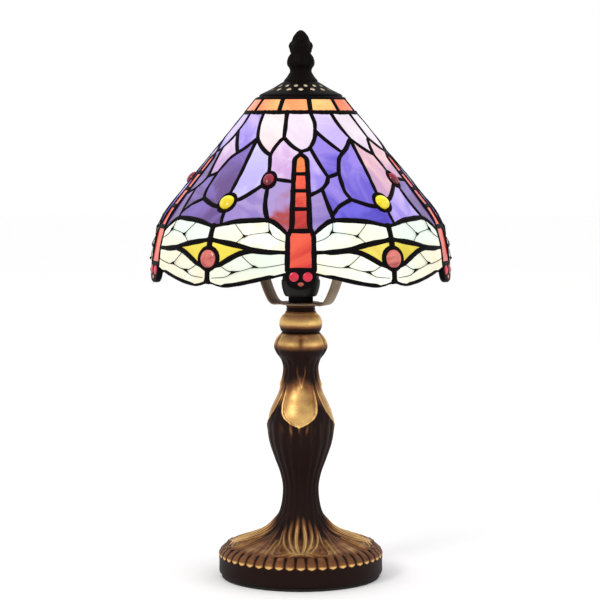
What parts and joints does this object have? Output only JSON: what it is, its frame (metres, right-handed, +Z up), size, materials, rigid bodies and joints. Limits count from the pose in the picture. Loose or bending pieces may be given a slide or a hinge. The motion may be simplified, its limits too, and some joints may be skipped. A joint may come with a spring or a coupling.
{
  "type": "table lamp with leaded glass shade",
  "caption": "Small table lamp with a leaded glass shade in a repeating dragonfly pattern, on a cast bronze-finish baluster base.",
  "frame": {"origin": "middle of the felt pad's underside, on the lamp's upright axis", "axes": "+Z up along the lamp's axis, -Y to the front, the side shown to a viewer, +X to the viewer's right"},
  "size_m": [0.201, 0.2029, 0.3634],
  "materials": {
    "felt": "matte",
    "bronze": "satin",
    "cast_iron": "matte",
    "steel": "satin",
    "brass": "satin",
    "phenolic": "satin",
    "lead": "satin",
    "band_glass": "gloss",
    "field_glass": "gloss",
    "body_glass": "gloss",
    "wing_glass": "gloss",
    "jewel_glass": "gloss",
    "bulb_glass": "matte"
  },
  "bodies": {
    "stand": {"felt_pad": "felt", "base_casting": "bronze", "ballast_ring": "cast_iron", "bottom_washer": "steel", "bottom_nut": "steel", "cord_bushing": "phenolic", "neck_ring": "bronze", "pipe_collar": "brass", "lamp_pipe": "steel", "harp": "bronze", "harp_stud": "brass", "harp_locknut": "steel", "socket_base": "phenolic", "socket_sleeve": "phenolic", "socket_contact": "brass", "socket_screw_shell": "brass"},
    "shade": {"shade_lead": "lead", "shade_cap": "bronze", "band_glass_1": "band_glass", "band_glass_2": "band_glass", "band_glass_3": "band_glass", "band_glass_4": "band_glass", "band_glass_5": "band_glass", "band_glass_6": "band_glass", "band_glass_7": "band_glass", "band_glass_8": "band_glass", "band_glass_9": "band_glass", "band_glass_10": "band_glass", "band_glass_11": "band_glass", "field_glass_1": "field_glass", "field_glass_2": "field_glass", "field_glass_3": "field_glass", "field_glass_4": "field_glass", "field_glass_5": "field_glass", "dragonfly_body_glass_1": "body_glass", "dragonfly_body_glass_2": "body_glass", "dragonfly_body_glass_3": "body_glass", "dragonfly_body_glass_4": "body_glass", "dragonfly_body_glass_5": "body_glass", "wing_glass_1_left": "wing_glass", "wing_glass_1_right": "wing_glass", "wing_glass_2_left": "wing_glass", "wing_glass_2_right": "wing_glass", "wing_glass_3_left": "wing_glass", "wing_glass_3_right": "wing_glass", "wing_glass_4_left": "wing_glass", "wing_glass_4_right": "wing_glass", "wing_glass_5_left": "wing_glass", "wing_glass_5_right": "wing_glass", "pink_jewel_1": "jewel_glass", "pink_jewel_2": "jewel_glass", "pink_jewel_3": "jewel_glass", "pink_jewel_4": "jewel_glass", "pink_jewel_5": "jewel_glass"},
    "finial_lift_body": {"finial_insert": "brass"},
    "finial_body": {"finial": "bronze"},
    "bulb_lift_body": {"bulb_contact": "brass"},
    "bulb_body": {"bulb_base": "brass", "bulb_glass": "bulb_glass", "bulb_filament": "steel"}
  },
  "joints": [
    {"name": "shade_turn", "type": "hinge", "parent": "stand", "child": "shade", "pos_m": [0, 0, 0.3284], "axis": [0, 0, 1], "continuous": true},
    {"name": "finial_rise", "type": "slide", "parent": "stand", "child": "finial_lift_body", "axis": [0, 0, 1], "range_m": [0, 0.006]},
    {"name": "finial_turn", "type": "hinge", "parent": "finial_lift_body", "child": "finial_body", "pos_m": [0, 0, 0.3302], "axis": [0, 0, 1], "range_deg": [0, 2162]},
    {"name": "bulb_rise", "type": "slide", "parent": "stand", "child": "bulb_lift_body", "axis": [0, 0, 1], "range_m": [0, 0.00987]},
    {"name": "bulb_turn", "type": "hinge", "parent": "bulb_lift_body", "child": "bulb_body", "pos_m": [0, 0, 0.208], "axis": [0, 0, 1], "range_deg": [0, 1262]}
  ],
  "couplings": [
    {"joint": "finial_turn", "follows": "finial_rise", "rad_per_m": 6283.2},
    {"joint": "bulb_turn", "follows": "bulb_rise", "rad_per_m": 2228.1}
  ]
}
